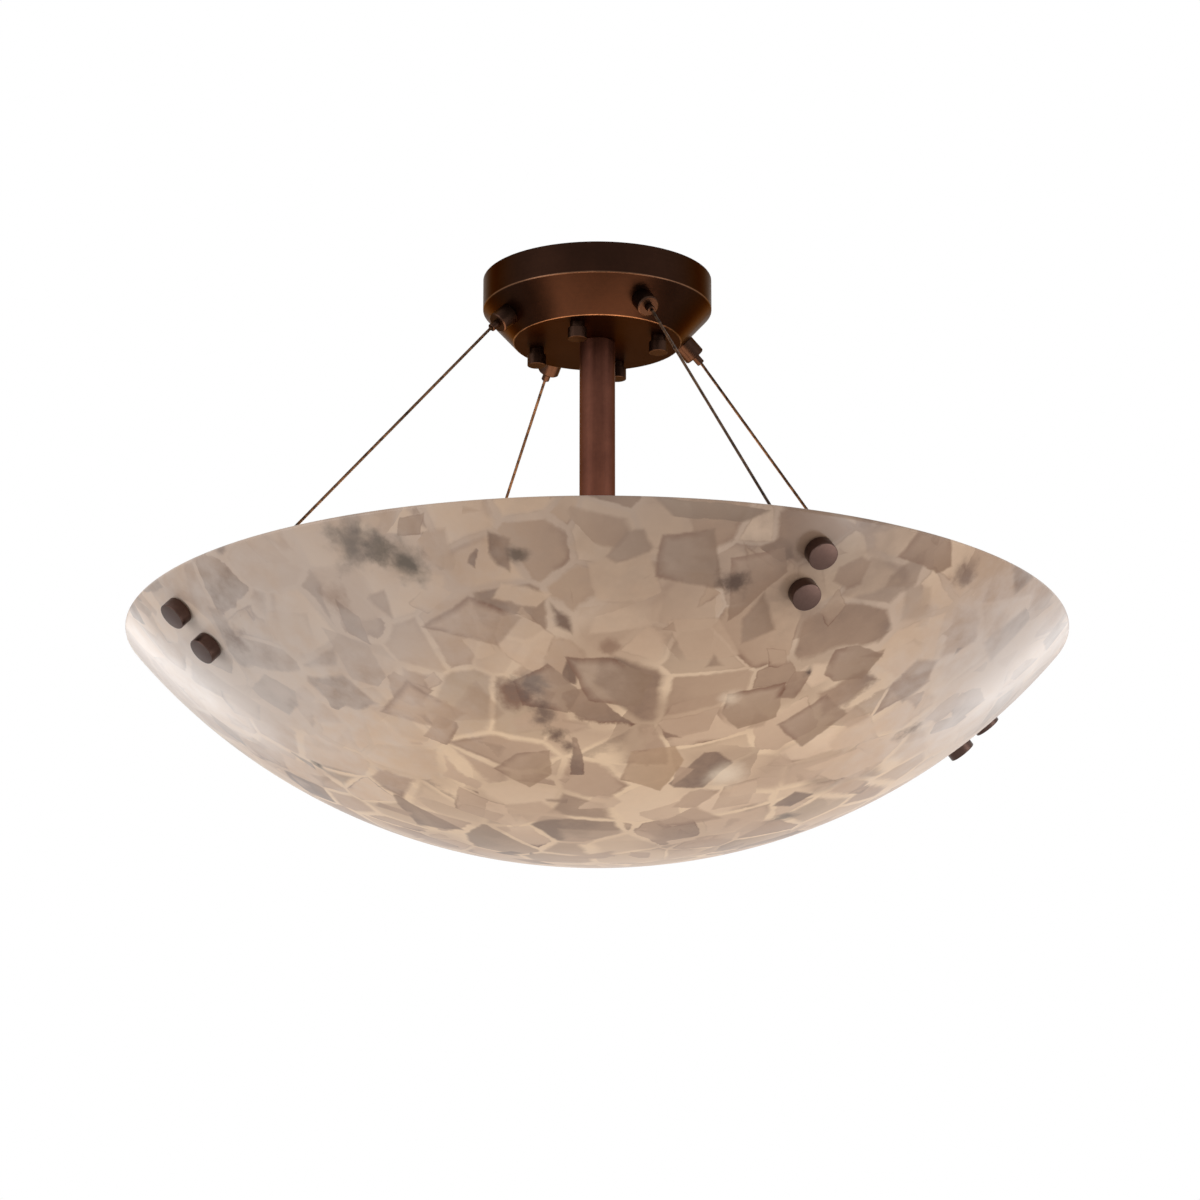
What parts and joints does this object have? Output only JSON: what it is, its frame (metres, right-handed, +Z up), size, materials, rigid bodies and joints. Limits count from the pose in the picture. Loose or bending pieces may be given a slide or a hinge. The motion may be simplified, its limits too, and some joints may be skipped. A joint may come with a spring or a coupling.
{
  "type": "semi flush ceiling light",
  "caption": "Wide shallow stone-look bowl hung on thin cables from a round stepped canopy, with a centre stem, a lamp cluster and cylindrical finials.",
  "frame": {"origin": "centre of the ceiling plane, at the canopy's top edge and the mounting plate's top face", "axes": "+Z up, square to the ceiling; -Y faces the viewer, who looks up at the light; +X is to that viewer's right"},
  "size_m": [0.6856, 0.6856, 0.4367],
  "materials": {
    "dark_bronze": "satin",
    "zinc_steel": "satin",
    "brass_parts": "satin",
    "soft_washer": "matt",
    "wire_rope": "satin",
    "cast_resin": "gloss",
    "porcelain": "gloss",
    "lamp_cap": "satin",
    "frosted_glass": "frosted",
    "lead_insulation": "matt",
    "connector_plastic": "satin"
  },
  "bodies": {
    "light": {"canopy": "dark_bronze", "mounting_plate": "zinc_steel", "ground_screw": "brass_parts", "canopy_studs": "zinc_steel", "stud_nuts": "zinc_steel", "cap_nuts": "dark_bronze", "gripper_barrels": "dark_bronze", "gripper_nuts": "zinc_steel", "gripper_plugs": "brass_parts", "cable_ball_ends": "zinc_steel", "bowl": "cast_resin", "bowl_brackets": "zinc_steel", "bracket_screws": "zinc_steel", "inner_washers": "soft_washer", "outer_washers": "soft_washer", "bowl_finials": "dark_bronze", "stem": "dark_bronze", "stem_rod": "zinc_steel", "rod_washers": "zinc_steel", "rod_nuts": "zinc_steel", "supply_leads": "lead_insulation", "wire_connectors": "connector_plastic", "cluster_body": "dark_bronze", "cluster_cover": "dark_bronze", "terminal_block": "porcelain", "socket_nipples": "zinc_steel", "nipple_nuts": "zinc_steel", "socket_sleeves": "brass_parts", "socket_contacts": "brass_parts", "socket_leads": "lead_insulation", "gripper_spring_1": "zinc_steel", "cable_1": "wire_rope", "socket_1": "porcelain", "gripper_spring_2": "zinc_steel", "cable_2": "wire_rope", "socket_2": "porcelain", "gripper_spring_3": "zinc_steel", "cable_3": "wire_rope", "socket_3": "porcelain", "gripper_spring_4": "zinc_steel", "cable_4": "wire_rope", "socket_4": "porcelain"},
    "plunger_1": {"gripper_plunger_1": "dark_bronze", "gripper_balls_1": "zinc_steel"},
    "lamp_1": {"lamp_cap_1": "lamp_cap", "lamp_bulb_1": "frosted_glass"},
    "plunger_2": {"gripper_plunger_2": "dark_bronze", "gripper_balls_2": "zinc_steel"},
    "lamp_2": {"lamp_cap_2": "lamp_cap", "lamp_bulb_2": "frosted_glass"},
    "plunger_3": {"gripper_plunger_3": "dark_bronze", "gripper_balls_3": "zinc_steel"},
    "lamp_3": {"lamp_cap_3": "lamp_cap", "lamp_bulb_3": "frosted_glass"},
    "plunger_4": {"gripper_plunger_4": "dark_bronze", "gripper_balls_4": "zinc_steel"},
    "lamp_4": {"lamp_cap_4": "lamp_cap", "lamp_bulb_4": "frosted_glass"}
  },
  "joints": [
    {"name": "gripper_1_release", "type": "slide", "parent": "light", "child": "plunger_1", "axis": [-0.6619, -0.3372, 0.6695], "range_m": [0, 0.002], "stiffness_N_per_m": 1500, "springref_m": -0.003, "deforming": ["gripper_spring_1"]},
    {"name": "gripper_2_release", "type": "slide", "parent": "light", "child": "plunger_2", "axis": [0.3372, -0.6619, 0.6695], "range_m": [0, 0.002], "stiffness_N_per_m": 1500, "springref_m": -0.003, "deforming": ["gripper_spring_2"]},
    {"name": "gripper_3_release", "type": "slide", "parent": "light", "child": "plunger_3", "axis": [0.6619, 0.3372, 0.6695], "range_m": [0, 0.002], "stiffness_N_per_m": 1500, "springref_m": -0.003, "deforming": ["gripper_spring_3"]},
    {"name": "gripper_4_release", "type": "slide", "parent": "light", "child": "plunger_4", "axis": [-0.3372, 0.6619, 0.6695], "range_m": [0, 0.002], "stiffness_N_per_m": 1500, "springref_m": -0.003, "deforming": ["gripper_spring_4"]},
    {"name": "lamp_1_out", "type": "slide", "parent": "light", "child": "lamp_1", "axis": [0.309, 0.9511, 0], "range_m": [0, 0.03]},
    {"name": "lamp_2_out", "type": "slide", "parent": "light", "child": "lamp_2", "axis": [-0.9511, 0.309, 0], "range_m": [0, 0.03]},
    {"name": "lamp_3_out", "type": "slide", "parent": "light", "child": "lamp_3", "axis": [-0.309, -0.9511, 0], "range_m": [0, 0.03]},
    {"name": "lamp_4_out", "type": "slide", "parent": "light", "child": "lamp_4", "axis": [0.9511, -0.309, 0], "range_m": [0, 0.03]}
  ]
}
